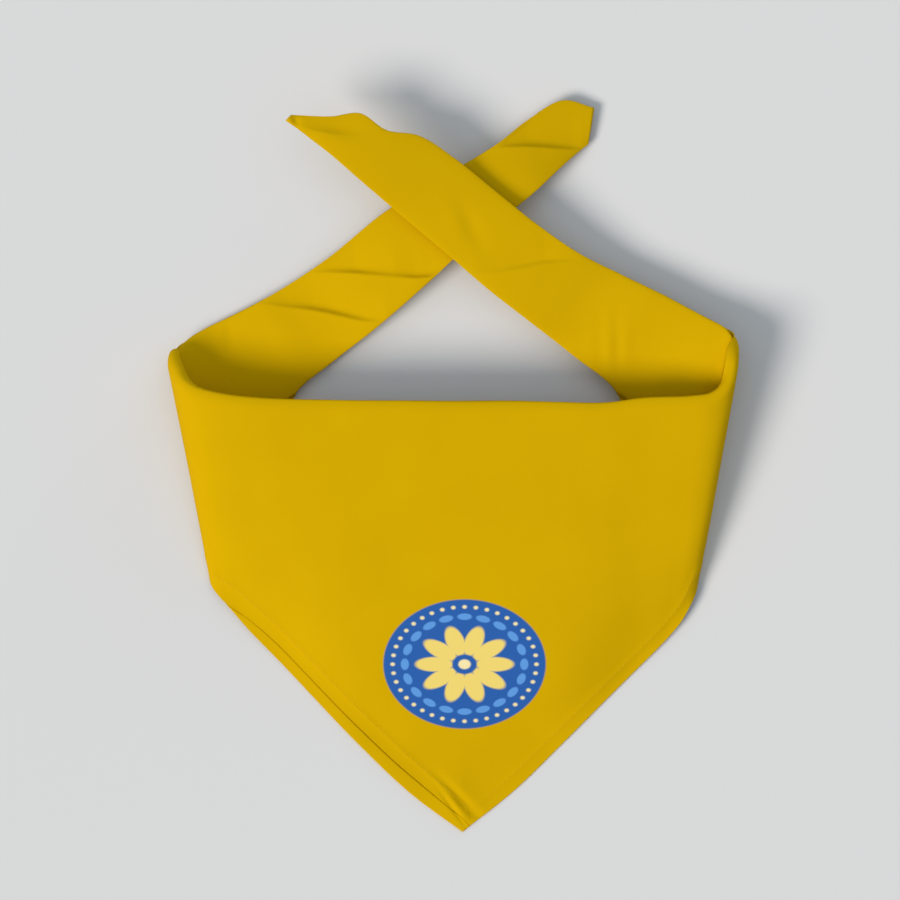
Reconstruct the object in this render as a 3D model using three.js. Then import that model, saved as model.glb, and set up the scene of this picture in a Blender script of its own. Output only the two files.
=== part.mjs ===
// Neckerchief: a square cotton bandana folded on its diagonal, with the long edge rolled into a
// neck band. It lies on its back as an open loop, and the tails cross behind, right over left.
// Millimetres, +Z up, the tip of the bib points along -Y and the crossed tails along +Y.

import * as THREE from 'three';

// Cloth thicknesses
const SHEET = 1.0;
const LAYER_GAP = 0.45;
const ROLL = 3.0;
const ROLL_TAIL = 2.2;

// Turned hem along the free edges: its width and what it adds to the face
const HEM_WIDTH = 7;
const HEM_STEP = 0.9;
const HEM_RISE = 0.35;

// The under layer shows past the outer one along the left free edge, a little less at the tip,
// and as far past the tip as this share of a section
const UNDER_SHOWS = 9.2;
const TIP_SHOWS = 7;
const TIP_REACH = 0.15;

// Places of the two layers and of the roll inside the top fold
const UNDER_DEPTH = SHEET + LAYER_GAP;
const ROLL_DEPTH = SHEET / 2 + LAYER_GAP + SHEET + LAYER_GAP + ROLL / 2;
const ROLL_SETBACK = ROLL_DEPTH - ROLL / 2;

// Angles of the stations on the turned fold in front, from its inner end to where it ends flat,
// and the distance from the fold line at which a tucked layer starts on the back
const FOLD_ANGLES = [95, 60, 30];
const TUCK_START = 1.2;

// The roll sinks between the layers over these shares of a section beside the ends of the bib
const SINK_OUTSIDE = 0.6;
const SINK_INSIDE = 0.2;

// Height by which the bib bows up halfway between its fold and its edge
const BELLY = 1.5;

// The bib comes down to the table over this length and lies flat beyond it. The softness is that
// of the change from shorter sections, and the landing is the share over which it levels off.
const TOUCH = 160;
const TOUCH_SOFTNESS = 10;
const LANDING = 0.08;

// Longest step along the fold between two stations
const STATION = 14;

// Gap between the neck roll and each band, where they meet in the side turns
const SEAM_GAP = 2.4;

// Sections from the left tail, round the loop, to the right tail. Each gives a point on the top
// fold and the point opposite: the lower fold of the band in the tails, the free edge of the
// cloth where the bib hangs. Heights are those of the outer layer. Band is the share of the
// section that the rolled band takes.
const SECTIONS = [
  // place, fold x, fold y, fold z, edge x, edge y, edge z, band
  ['left tail tip', 67.3, 171.4, 3.2, 64.3, 153.9, 2.8, 1],
  ['left tail end', 52.2, 174.8, 5.4, 58.6, 149.2, 5.0, 1],
  ['left tail', 35.1, 164.9, 9.6, 49.8, 141.1, 9.0, 1],
  ['left tail bend', 20.7, 153.4, 13.4, 38.1, 129.9, 13.0, 1],
  ['left crossing', -11.2, 133.9, 16.6, 7.8, 105.3, 16.6, 1],
  ['left band high', -33.6, 120.3, 14.4, -12.6, 86.6, 14.2, 1],
  ['left band', -59.0, 99.8, 10.0, -36.3, 66.2, 9.6, 1],
  ['left crease', -82.6, 84.3, 5.2, -59.7, 48.1, 4.0, 1],
  ['left wing end', -96.1, 76.9, 3.0, -75.6, 34.3, 1.6, 1],
  ['left wing', -108.2, 70.8, 1.6, -86.6, 5.0, 0.5, 0.74],
  ['left under', -119.2, 65.6, 1.0, -101.2, -29.5, 0.5, 0.52],
  ['left turn low', -128.2, 60.7, 3.2, -109.5, -46.3, 0.5, 0.46],
  ['left turn', -134.4, 56.9, 8.5, -114.4, -52.0, 1.2, 0.44],
  ['left corner', -136.6, 53.8, 15.5, -116.3, -53.6, 3.2, 0.44],
  ['left shoulder low', -135.0, 48.6, 22.5, -115.2, -57.9, 5.2, 0.44],
  ['left shoulder', -131.1, 42.4, 28.2, -112.1, -62.3, 6.2, 0.43],
  ['left shoulder top', -124.4, 37.4, 31.9, -106.5, -68.7, 6.0, 0.42],
  ['left chest side', -113.7, 34.1, 34.2, -98.6, -77.9, 4.6, 0.4],
  ['left chest', -93.8, 31.4, 35.8, -81.6, -95.5, 2.5, 0.36],
  ['left middle', -53.6, 30.2, 36.8, -45.3, -133.6, 1.8, 0.29],
  ['left tip side', -25.3, 30.0, 37.1, -20.5, -157.0, 1.8, 0.25],
  ['centre', 0.7, 29.8, 37.3, 4.3, -175.4, 1.8, 0.22],
  ['right tip side', 26.6, 29.9, 37.3, 28.9, -155.9, 1.8, 0.24],
  ['right middle', 50.2, 29.3, 37.2, 51.7, -133.7, 1.8, 0.27],
  ['right fold bend', 71.5, 29.0, 37.0, 69.9, -115.3, 2.0, 0.3],
  ['right chest', 90.4, 31.3, 36.8, 86.2, -99.1, 2.3, 0.34],
  ['right chest side', 111.8, 32.1, 36.4, 101.0, -84.2, 4.0, 0.39],
  ['right shoulder top', 122.4, 33.8, 35.9, 108.9, -74.8, 5.6, 0.41],
  ['right shoulder', 129.4, 38.8, 34.8, 113.2, -66.9, 6.4, 0.42],
  ['right shoulder low', 134.0, 46.3, 32.4, 115.7, -60.6, 5.6, 0.43],
  ['right corner', 135.8, 54.5, 28.2, 116.6, -55.0, 3.6, 0.43],
  ['right turn', 135.2, 60.9, 22.8, 115.2, -50.6, 1.4, 0.43],
  ['right turn low', 130.9, 65.2, 18.4, 110.9, -44.9, 0.6, 0.45],
  ['right under', 122.7, 69.8, 15.6, 102.9, -28.5, 1.2, 0.52],
  ['right wing', 112.8, 75.1, 13.8, 89.0, 4.7, 2.4, 0.74],
  ['right wing end', 100.4, 81.7, 13.0, 77.7, 35.5, 6.4, 1],
  ['right band', 80.4, 91.1, 14.0, 57.3, 52.4, 10.4, 1],
  ['right crease', 59.3, 101.5, 17.6, 35.7, 69.0, 15.8, 1],
  ['right crossing near', 39.2, 115.2, 20.0, 15.7, 84.4, 19.6, 1],
  ['right crossing', 20.7, 129.9, 21.0, -3.1, 100.6, 21.2, 1],
  ['right crossing far', 0.7, 145.9, 22.6, -24.0, 118.1, 23.0, 1],
  ['right tail', -16.4, 156.6, 25.6, -42.3, 133.6, 26.4, 1],
  ['right tail fold', -32.0, 159.2, 28.6, -58.4, 147.5, 29.6, 1],
  ['right tail flap', -44.3, 166.9, 30.4, -67.4, 154.4, 31.2, 1],
  ['right tail end', -58.4, 165.3, 32.4, -73.9, 159.4, 32.8, 1],
  ['right tail tip', -76.8, 165.8, 34.0, -79.4, 163.1, 34.0, 1],
];

const LAST = SECTIONS.length - 1;
const CENTRE = at('centre');
const folds = SECTIONS.map((section) => new THREE.Vector3(...section.slice(1, 4)));
const edges = SECTIONS.map((section) => new THREE.Vector3(...section.slice(4, 7)));
const foldLine = new THREE.CatmullRomCurve3(folds);
const leftEdge = new THREE.CatmullRomCurve3(edges.slice(0, CENTRE + 1));
const rightEdge = new THREE.CatmullRomCurve3(edges.slice(CENTRE));

function at(place) {
  return SECTIONS.findIndex((section) => section[0] === place);
}

function ramp(from, to, s) {
  return THREE.MathUtils.smoothstep(s, from, to);
}

// Point on the edge, which has its corner at the tip of the bib
function edgePoint(s) {
  return s < CENTRE ? leftEdge.getPoint(s / CENTRE) : rightEdge.getPoint((s - CENTRE) / (LAST - CENTRE));
}

// In front and round to the right wing, but not on the left, where the back of the loop lies flat
function front(s) {
  const start = ramp(at('left turn'), at('left chest'), s);
  const stop = 1 - ramp(at('right under'), at('right wing end'), s);
  return Math.min(start, stop);
}

// Length over which a section comes down to the table: its own, but no more than TOUCH
function landingLength(length) {
  const sum = Math.exp(-TOUCH / TOUCH_SOFTNESS) + Math.exp(-length / TOUCH_SOFTNESS);
  return -TOUCH_SOFTNESS * Math.log(sum);
}

// Goes up evenly and levels off at 1
function levelOff(v) {
  if (v < 1 - LANDING) return v;
  const left = Math.max(0, 1 + LANDING - v);
  return 1 - (left * left) / (4 * LANDING);
}

// Middle of the outer layer, s counted in sections and v from the fold at 0 to the edge at 1
function cloth(s, v) {
  const place = THREE.MathUtils.clamp(s, 0, LAST);
  const top = foldLine.getPoint(place / LAST);
  const bottom = edgePoint(place);
  const reach = top.distanceTo(bottom) / landingLength(top.distanceTo(bottom));
  const landed = levelOff(v * reach) / levelOff(reach);
  const fallen = THREE.MathUtils.lerp(v, landed, front(place));
  const point = top.clone().lerp(bottom, v);
  const bow = BELLY * front(place) * Math.sin(Math.PI * fallen);
  point.z = THREE.MathUtils.lerp(top.z, bottom.z, fallen) + bow;
  return point;
}

function sectionLength(s) {
  return cloth(s, 0).distanceTo(cloth(s, 1));
}

function bandShare(s) {
  const low = Math.min(Math.floor(s), LAST - 1);
  return THREE.MathUtils.lerp(SECTIONS[low][7], SECTIONS[low + 1][7], s - low);
}

// Unit vector that points out of the loop
function outward(s, v) {
  const step = 0.04;
  const along = cloth(s + step, v).sub(cloth(s - step, v));
  const down = cloth(s, v + step).sub(cloth(s, v - step));
  return down.cross(along).normalize();
}

// Point at a distance from the fold, measured in the cloth, and at a depth inside the outer layer
function inCloth(s, distance, depth) {
  const v = distance / sectionLength(s);
  return cloth(s, v).addScaledVector(outward(s, v), -depth);
}

// Closed mesh from two grids of points, one on each face of a wall
function wall(outer, inner) {
  const rows = outer.length;
  const columns = outer[0].length;
  const points = [...outer.flat(), ...inner.flat()];
  const shift = rows * columns;
  const faces = [];
  const quad = (a, b, c, d) => faces.push(a, b, c, a, c, d);
  for (let i = 0; i < rows - 1; i++) {
    for (let j = 0; j < columns - 1; j++) {
      const a = i * columns + j;
      const b = a + columns;
      quad(a, b, b + 1, a + 1);
      quad(shift + b + 1, shift + b, shift + a, shift + a + 1);
    }
  }
  for (let i = 0; i < rows - 1; i++) {
    const a = i * columns;
    const b = a + columns;
    quad(a, shift + a, shift + b, b);
    quad(b + columns - 1, shift + b + columns - 1, shift + a + columns - 1, a + columns - 1);
  }
  for (let j = 0; j < columns - 1; j++) {
    const end = (rows - 1) * columns + j;
    quad(j, j + 1, shift + j + 1, shift + j);
    quad(end + 1, end, shift + end, shift + end + 1);
  }
  return solid(points, faces);
}

// Closed mesh through rings of points, with a flat cap at each end
function loft(rings) {
  const count = rings[0].length;
  const faces = [];
  for (let i = 0; i < rings.length - 1; i++) {
    for (let j = 0; j < count; j++) {
      const a = i * count + j;
      const b = i * count + ((j + 1) % count);
      faces.push(a, b, b + count, a, b + count, a + count);
    }
  }
  const last = (rings.length - 1) * count;
  for (let j = 1; j < count - 1; j++) {
    faces.push(0, j + 1, j);
    faces.push(last, last + j, last + j + 1);
  }
  return solid(rings.flat(), faces);
}

// Geometry with its faces turned outwards
function solid(points, faces) {
  let volume = 0;
  for (let i = 0; i < faces.length; i += 3) {
    const [a, b, c] = [points[faces[i]], points[faces[i + 1]], points[faces[i + 2]]];
    volume += a.dot(b.clone().cross(c));
  }
  if (volume < 0) faces.reverse();
  const geometry = new THREE.BufferGeometry().setFromPoints(points);
  geometry.setIndex(faces);
  geometry.computeVertexNormals();
  return geometry;
}

// Stations from one place to another, two to a section and more where the sections are long
function stations(from, to) {
  const places = [from];
  for (let section = Math.floor(from); section < to; section++) {
    const start = Math.max(section, from);
    const stop = Math.min(section + 1, to);
    const count = Math.max(2, Math.round(cloth(start, 0).distanceTo(cloth(stop, 0)) / STATION));
    for (let i = 1; i <= count; i++) {
      places.push(THREE.MathUtils.lerp(start, stop, i / count));
    }
  }
  return places;
}

// On the back the layers tuck under the roll, in front they turn over it
function tuck(s) {
  const left = 1 - ramp(at('left turn low'), at('left corner'), s);
  const right = ramp(at('right corner'), at('right turn low'), s);
  return Math.max(left, right);
}

// Past the side turns the roll comes out to the fold
function setback(s) {
  const left = ramp(at('left wing'), at('left turn low'), s);
  const right = 1 - ramp(at('right turn low'), at('right wing'), s);
  return ROLL_SETBACK * Math.min(left, right);
}

// How far the outer layer stops short of the outline along the left free edge
function inset(s) {
  if (s > CENTRE) return TIP_SHOWS * THREE.MathUtils.clamp(1 - (s - CENTRE) / TIP_REACH, 0, 1);
  const start = UNDER_SHOWS * ramp(at('left shoulder'), at('left chest'), s);
  return start + (TIP_SHOWS - UNDER_SHOWS) * ramp(at('left tip side'), CENTRE, s);
}

// One layer of the folded square, from wing to wing
function layer(depth, shows) {
  const outer = [];
  const inner = [];
  const toTip = stations(at('left wing end'), CENTRE);
  const pastTip = stations(CENTRE, CENTRE + TIP_REACH).slice(1);
  const toRight = stations(CENTRE + TIP_REACH, at('right wing end')).slice(1);
  for (const s of [...toTip, ...pastTip, ...toRight]) {
    const length = sectionLength(s) - (shows ? 0 : inset(s));
    const radius = ROLL_DEPTH - depth;
    const profile = [];
    for (const angle of FOLD_ANGLES) {
      const turned = THREE.MathUtils.degToRad(angle);
      const flat = THREE.MathUtils.lerp(ROLL_DEPTH, TUCK_START, angle / FOLD_ANGLES[0]);
      const distance = THREE.MathUtils.lerp(ROLL_DEPTH - radius * Math.sin(turned), flat, tuck(s));
      const lower = THREE.MathUtils.lerp(ROLL_DEPTH - radius * Math.cos(turned), depth, tuck(s));
      const tilt = (1 - tuck(s)) * turned;
      profile.push([distance, lower, tilt, 0]);
    }
    const hemStart = sectionLength(s) - HEM_WIDTH - HEM_STEP - UNDER_SHOWS;
    for (const share of [0, 0.2, 0.4, 0.6, 0.8, 1]) {
      profile.push([THREE.MathUtils.lerp(ROLL_DEPTH, hemStart, share), depth, 0, 0]);
    }
    const rise = HEM_RISE * (1 - tuck(s));
    profile.push([length - HEM_WIDTH, depth, 0, rise]);
    profile.push([length, depth, 0, rise]);
    const faceAt = ([distance, lower, tilt], half) =>
      inCloth(s, distance - half * Math.sin(tilt), lower - half * Math.cos(tilt));
    outer.push(profile.map((p) => faceAt(p, SHEET / 2 + (shows ? 0 : p[3]))));
    inner.push(profile.map((p) => faceAt(p, -SHEET / 2 - (shows ? p[3] : 0))));
  }
  return wall(outer, inner);
}

// Depth of the middle of the roll: inside both layers along the bib, alone in the tails
function rollDepth(s) {
  const left = ramp(at('left crease') - SINK_OUTSIDE, at('left wing end') - SINK_INSIDE, s);
  const right = 1 - ramp(at('right wing end') + SINK_INSIDE, at('right band') + SINK_OUTSIDE, s);
  return THREE.MathUtils.lerp((ROLL - SHEET) / 2, ROLL_DEPTH, Math.min(left, right));
}

// Thickness of the roll, less in the tails, where fewer layers lie on each other
function rollThickness(s) {
  const left = ramp(at('left tail end'), at('left crossing'), s);
  const right = 1 - ramp(at('right crossing'), at('right tail end'), s);
  return THREE.MathUtils.lerp(ROLL_TAIL, ROLL, Math.min(left, right));
}

// Flattened roll of cloth between two sections
function roll(from, to) {
  const rings = stations(from, to).map((s) => {
    const thickness = rollThickness(s);
    const half = thickness / 2;
    const start = setback(s);
    const end = sectionLength(s) * bandShare(s);
    const middle = rollDepth(s) - (ROLL - thickness) / 2;
    const ring = [];
    for (const angle of [-90, -45, 0, 45, 90]) {
      const turned = THREE.MathUtils.degToRad(angle);
      ring.push([start + half - half * Math.cos(turned), half * Math.sin(turned)]);
    }
    for (const share of [1 / 3, 2 / 3]) {
      ring.push([THREE.MathUtils.lerp(start + half, end - half, share), half]);
    }
    for (const angle of [90, 45, 0, -45, -90]) {
      const turned = THREE.MathUtils.degToRad(angle);
      ring.push([end - half + half * Math.cos(turned), half * Math.sin(turned)]);
    }
    for (const share of [2 / 3, 1 / 3]) {
      ring.push([THREE.MathUtils.lerp(start + half, end - half, share), -half]);
    }
    return ring.map(([distance, side]) => inCloth(s, distance, middle + side));
  });
  return loft(rings);
}

// Place half a seam gap to one side of a section, measured a little below the fold
function beside(s, side) {
  const step = 0.1;
  const below = 0.2;
  const perSection = cloth(s + step, below).distanceTo(cloth(s, below)) / step;
  return s + (side * SEAM_GAP) / 2 / perSection;
}

const neckerchief = new THREE.Group();

function add(name, geometry, colour) {
  const material = new THREE.MeshStandardMaterial({ color: colour, roughness: 0.9, metalness: 0 });
  const mesh = new THREE.Mesh(geometry, material);
  mesh.name = name;
  neckerchief.add(mesh);
}

const leftSeam = at('left corner');
const rightSeam = at('right corner');
add('front_bib', layer(0, false), 0xd0a800);
add('under_bib', layer(UNDER_DEPTH, true), 0xc89f00);
add('left_band', roll(0, beside(leftSeam, -1)), 0xd0a500);
add('neck_roll', roll(beside(leftSeam, 1), beside(rightSeam, -1)), 0xc89f00);
add('right_band', roll(beside(rightSeam, 1), LAST), 0xd0a500);

// The origin is at the middle of the base
const box = new THREE.Box3().setFromObject(neckerchief);
const middle = box.getCenter(new THREE.Vector3());
neckerchief.position.set(-middle.x, -middle.y, -box.min.z);

export default neckerchief;
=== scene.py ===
# %% [markdown]
# # A folded cotton neckerchief
# The real thing is one square of plain-weave cotton. It is folded on its diagonal, its long edge
# is rolled into a neck band, and it lies on its back as an open loop with the tails crossed.
# The solids of the same object come first, as a fixed frame. Every cloth below lies where its
# solid lies, so nothing has to be fitted afterwards.

import bpy
import numpy as np
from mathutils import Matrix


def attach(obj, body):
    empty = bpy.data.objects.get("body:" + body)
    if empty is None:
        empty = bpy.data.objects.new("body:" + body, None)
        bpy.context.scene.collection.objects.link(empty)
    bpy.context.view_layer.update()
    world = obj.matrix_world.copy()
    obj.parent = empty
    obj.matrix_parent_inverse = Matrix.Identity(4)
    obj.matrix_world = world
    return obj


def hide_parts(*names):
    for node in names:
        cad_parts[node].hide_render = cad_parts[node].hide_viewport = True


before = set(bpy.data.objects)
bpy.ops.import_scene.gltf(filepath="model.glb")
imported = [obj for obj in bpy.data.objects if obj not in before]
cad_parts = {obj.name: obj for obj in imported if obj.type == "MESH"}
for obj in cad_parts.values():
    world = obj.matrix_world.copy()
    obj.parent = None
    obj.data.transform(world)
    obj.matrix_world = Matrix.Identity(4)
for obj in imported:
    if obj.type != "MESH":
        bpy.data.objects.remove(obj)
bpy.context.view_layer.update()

# %% [markdown]
# ## The camera
# The picture is taken straight from above, from far away, so almost no side shows. A long lens
# keeps the raised parts from growing much: one 37 mm above the table looks only 2% larger.
# The lens follows from the width of table that the picture holds.

# %% Camera
MM = 0.001
PICTURE_WIDTH = 432.0
SENSOR = 36.0
CAMERA_AT = np.array([-1.35, 7.73, 2200.4])

camera_data = bpy.data.cameras.new("camera")
camera_data.sensor_width = SENSOR
camera_data.lens = SENSOR * CAMERA_AT[2] / PICTURE_WIDTH
camera = bpy.data.objects.new("camera", camera_data)
camera.location = CAMERA_AT * MM
bpy.context.scene.collection.objects.link(camera)
bpy.context.scene.camera = camera
print(f"lens {camera_data.lens:.1f} mm, {PICTURE_WIDTH:.0f} mm of table in the picture")

# %% [markdown]
# ## The shape of the cloth
# A folded cloth is a ruled surface: straight lines run from the top fold to the edge opposite.
# So two curves in space describe all of it, and a table of sections gives points on both.
# The sections run from the left tail, round the loop, to the right tail. In the tails the edge
# is the lower fold of the band, and in the bib it is the free edge of the square.

# %% Sections of the cloth, in millimetres
# The table's points are moved by this, which puts the middle of the base at zero
ORIGIN = np.array([0.331, 0.291, 0.531])
SECTIONS = [
    # place, fold x, fold y, fold z, edge x, edge y, edge z, share of the section in the band
    ("left tail tip", 67.3, 171.4, 3.2, 64.3, 153.9, 2.8, 1),
    ("left tail end", 52.2, 174.8, 5.4, 58.6, 149.2, 5.0, 1),
    ("left tail", 35.1, 164.9, 9.6, 49.8, 141.1, 9.0, 1),
    ("left tail bend", 20.7, 153.4, 13.4, 38.1, 129.9, 13.0, 1),
    ("left crossing", -11.2, 133.9, 16.6, 7.8, 105.3, 16.6, 1),
    ("left band high", -33.6, 120.3, 14.4, -12.6, 86.6, 14.2, 1),
    ("left band", -59.0, 99.8, 10.0, -36.3, 66.2, 9.6, 1),
    ("left crease", -82.6, 84.3, 5.2, -59.7, 48.1, 4.0, 1),
    ("left wing end", -96.1, 76.9, 3.0, -75.6, 34.3, 1.6, 1),
    ("left wing", -108.2, 70.8, 1.6, -86.6, 5.0, 0.5, 0.74),
    ("left under", -119.2, 65.6, 1.0, -101.2, -29.5, 0.5, 0.52),
    ("left turn low", -128.2, 60.7, 3.2, -109.5, -46.3, 0.5, 0.46),
    ("left turn", -134.4, 56.9, 8.5, -114.4, -52.0, 1.2, 0.44),
    ("left corner", -136.6, 53.8, 15.5, -116.3, -53.6, 3.2, 0.44),
    ("left shoulder low", -135.0, 48.6, 22.5, -115.2, -57.9, 5.2, 0.44),
    ("left shoulder", -131.1, 42.4, 28.2, -112.1, -62.3, 6.2, 0.43),
    ("left shoulder top", -124.4, 37.4, 31.9, -106.5, -68.7, 6.0, 0.42),
    ("left chest side", -113.7, 34.1, 34.2, -98.6, -77.9, 4.6, 0.4),
    ("left chest", -93.8, 31.4, 35.8, -81.6, -95.5, 2.5, 0.36),
    ("left middle", -53.6, 30.2, 36.8, -45.3, -133.6, 1.8, 0.29),
    ("left tip side", -25.3, 30.0, 37.1, -20.5, -157.0, 1.8, 0.25),
    ("centre", 0.7, 29.8, 37.3, 4.3, -175.4, 1.8, 0.22),
    ("right tip side", 26.6, 29.9, 37.3, 28.9, -155.9, 1.8, 0.24),
    ("right middle", 50.2, 29.3, 37.2, 51.7, -133.7, 1.8, 0.27),
    ("right fold bend", 71.5, 29.0, 37.0, 69.9, -115.3, 2.0, 0.3),
    ("right chest", 90.4, 31.3, 36.8, 86.2, -99.1, 2.3, 0.34),
    ("right chest side", 111.8, 32.1, 36.4, 101.0, -84.2, 4.0, 0.39),
    ("right shoulder top", 122.4, 33.8, 35.9, 108.9, -74.8, 5.6, 0.41),
    ("right shoulder", 129.4, 38.8, 34.8, 113.2, -66.9, 6.4, 0.42),
    ("right shoulder low", 134.0, 46.3, 32.4, 115.7, -60.6, 5.6, 0.43),
    ("right corner", 135.8, 54.5, 28.2, 116.6, -55.0, 3.6, 0.43),
    ("right turn", 135.6, 62.0, 22.0, 115.2, -50.6, 1.4, 0.43),
    ("right turn low", 131.6, 65.6, 18.0, 110.9, -44.9, 0.6, 0.45),
    ("right under", 122.7, 69.8, 15.6, 102.9, -28.5, 1.2, 0.52),
    ("right wing", 112.8, 75.1, 13.8, 89.0, 4.7, 2.4, 0.74),
    ("right wing end", 100.4, 81.7, 13.0, 77.7, 35.5, 6.4, 1),
    ("right band", 80.4, 91.1, 14.0, 57.3, 52.4, 10.4, 1),
    ("right crease", 59.3, 101.5, 17.6, 35.7, 69.0, 15.8, 1),
    ("right crossing near", 39.2, 115.2, 20.0, 15.7, 84.4, 19.6, 1),
    ("right crossing", 20.7, 129.9, 21.0, -3.1, 100.6, 21.2, 1),
    ("right crossing far", 0.7, 145.9, 22.6, -24.0, 118.1, 23.0, 1),
    ("right tail", -16.4, 156.6, 25.6, -42.3, 133.6, 26.4, 1),
    ("right tail fold", -32.0, 159.2, 28.6, -58.4, 147.5, 29.6, 1),
    ("right tail flap", -44.3, 166.9, 30.4, -67.4, 154.4, 31.2, 1),
    ("right tail end", -58.4, 165.3, 32.4, -73.9, 159.4, 32.8, 1),
    ("right tail tip", -76.8, 165.8, 34.0, -79.4, 163.1, 34.0, 1),
]
AT = {section[0]: number for number, section in enumerate(SECTIONS)}
folds = np.array([section[1:4] for section in SECTIONS]) + ORIGIN
edges = np.array([section[4:7] for section in SECTIONS]) + ORIGIN
shares = np.array([section[7] for section in SECTIONS], dtype=float)
LAST = len(SECTIONS) - 1
CENTRE = AT["centre"]
print(f"{len(SECTIONS)} sections, the tip is section {CENTRE}")

# %% [markdown]
# ## Two curves through the sections
# A cloth fold has no corners, so both lines are smooth curves through their points. A centripetal
# Catmull-Rom curve passes through every point and doesn't loop where the points lie close.
# The free edge has one true corner, the tip of the bib, so it is made of two curves.


# %% Curves
def ramp(start, stop, value):
    """0 below start, 1 above stop and 3t² - 2t³ between, t being the share of the way."""
    t = np.clip((value - start) / (stop - start), 0, 1)
    return t * t * (3 - 2 * t)


def unit(vectors):
    """Each vector over its own length."""
    return vectors / np.linalg.norm(vectors, axis=-1, keepdims=True)


def way_along(points):
    """How far along its line each point lies: the lengths of the steps so far, added up."""
    return np.concatenate([[0], np.cumsum(np.linalg.norm(np.diff(points, axis=0), axis=1))])


def curve(points, s):
    """Cubic between points s and s + 1, with the chord lengths' square roots as its time steps.
    Its slope at a point is the sum of the two steps' slopes there, less the slope across both."""
    padded = np.vstack([2 * points[0] - points[1], points, 2 * points[-1] - points[-2]])
    low = np.clip(np.floor(s).astype(int), 0, len(points) - 2)
    t = (s - low)[..., None]
    before, start, stop, after = (padded[low + shift] for shift in range(4))
    step = [np.linalg.norm(b - a, axis=-1, keepdims=True) ** 0.5
            for a, b in ((before, start), (start, stop), (stop, after))]
    leave = (start - before) / step[0] - (stop - before) / (step[0] + step[1])
    leave = (leave + (stop - start) / step[1]) * step[1]
    reach = (stop - start) / step[1] - (after - start) / (step[1] + step[2])
    reach = (reach + (after - stop) / step[2]) * step[1]
    square = -3 * start + 3 * stop - 2 * leave - reach
    cube = 2 * start - 2 * stop + leave + reach
    return start + leave * t + square * t**2 + cube * t**3


def edge_curve(s):
    """The left curve up to the tip and the right curve after it."""
    left = curve(edges[: CENTRE + 1], np.minimum(s, CENTRE))
    right = curve(edges[CENTRE:], np.maximum(s, CENTRE) - CENTRE)
    return np.where((s < CENTRE)[..., None], left, right)


fold_line = curve(folds, np.linspace(0, LAST, 2000))
print(f"the fold is {way_along(fold_line)[-1]:.0f} mm long from tail to tail")

# %% [markdown]
# ## The surface between the curves
# Seen from above, the cloth runs straight from the fold to the edge. Its height doesn't: in front
# it falls from the high fold to the table, bows up a little on the way and then lies flat. So
# the height follows a share of its own, and the outline stays as the two curves give it.
# Every face of every layer is then this surface, moved in or out by a depth.

# %% The surface and depths below it
# In millimetres, the bow's height, the length after which cloth lies on the table and how softly
# the two lengths change over. LANDING is the share of the way in which the fall levels off.
BELLY = 1.5
TOUCH = 160.0
TOUCH_SOFTNESS = 10.0
LANDING = 0.08


def in_front(s):
    """1 in front and round to the right wing, 0 on the back."""
    start = ramp(AT["left turn"], AT["left chest"], s)
    return np.minimum(start, 1 - ramp(AT["right under"], AT["right wing end"], s))


def landing_length(length):
    """The section's length or TOUCH, whichever is less, with a soft change between them:
    minus the log of the sum of exp(-TOUCH) and exp(-length), in units of the softness."""
    return -TOUCH_SOFTNESS * np.log(np.exp(-TOUCH / TOUCH_SOFTNESS) + np.exp(-length / TOUCH_SOFTNESS))


def level_off(v):
    """v up to 1 - LANDING, and then 1 less the square of what is missing to 1 + LANDING, over
    4 LANDING."""
    missing = np.clip(1 + LANDING - v, 0, None)
    return np.where(v < 1 - LANDING, v, 1 - missing**2 / (4 * LANDING))


def cloth(s, v):
    """Fold point times 1 - v plus edge point times v. In front the height falls to the table
    over the landing length, and bows up by BELLY times sin(pi times the share fallen)."""
    place = np.clip(s, 0, LAST) + 0 * v
    share = v + 0 * place
    top, bottom = curve(folds, place), edge_curve(place)
    length = np.linalg.norm(bottom - top, axis=-1)
    reach = length / landing_length(length)
    landed = level_off(share * reach) / level_off(reach)
    fallen = share + (landed - share) * in_front(place)
    points = top + (bottom - top) * share[..., None]
    points[..., 2] = top[..., 2] + (bottom[..., 2] - top[..., 2]) * fallen
    points[..., 2] += BELLY * in_front(place) * np.sin(np.pi * fallen)
    return points


def section_length(s):
    """The straight distance from fold to edge. The bow is nothing at both, so it adds nothing."""
    return np.linalg.norm(cloth(s, np.ones_like(s)) - cloth(s, np.zeros_like(s)), axis=-1)


def outward(s, v):
    """Unit vector square to the cloth: the way down the section crossed with the one along."""
    step = 0.04
    along = cloth(s + step, v) - cloth(s - step, v)
    down = cloth(s, v + step) - cloth(s, v - step)
    return unit(np.cross(down, along))


def in_cloth(s, distance, depth):
    """The point a distance down the section, moved in against the normal by a depth."""
    s = s + 0 * distance
    v = distance / section_length(s)
    normal = outward(s, v)
    return cloth(s, v) - normal * depth[..., None], normal


print(f"the bib is {section_length(np.array([float(CENTRE)]))[0]:.0f} mm long from fold to tip")

# %% [markdown]
# ## Where the camera sees a crease
# Creases are small steps in the cloth. They are placed by where the camera sees them, given as
# a point of the table behind them, in millimetres. A point at a height is first slid along the
# camera's sight line down to the table, and then compared with the crease's own line.
# Just above its line the cloth falls off, and further up it slowly comes back.

# %% Creases and hills
RECOVERY = 13.0
SWELL = 0.16
SWELL_BELOW = 2.4
SWELL_ABOVE = 1.5


def seen(points):
    """Where the sight line through a point meets the table: camera plus the way from it,
    lengthened by the camera's height over the height between them."""
    reach = CAMERA_AT[2] / (CAMERA_AT[2] - points[..., 2])
    return CAMERA_AT[:2] + (points[..., :2] - CAMERA_AT[:2]) * reach[..., None]


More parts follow.
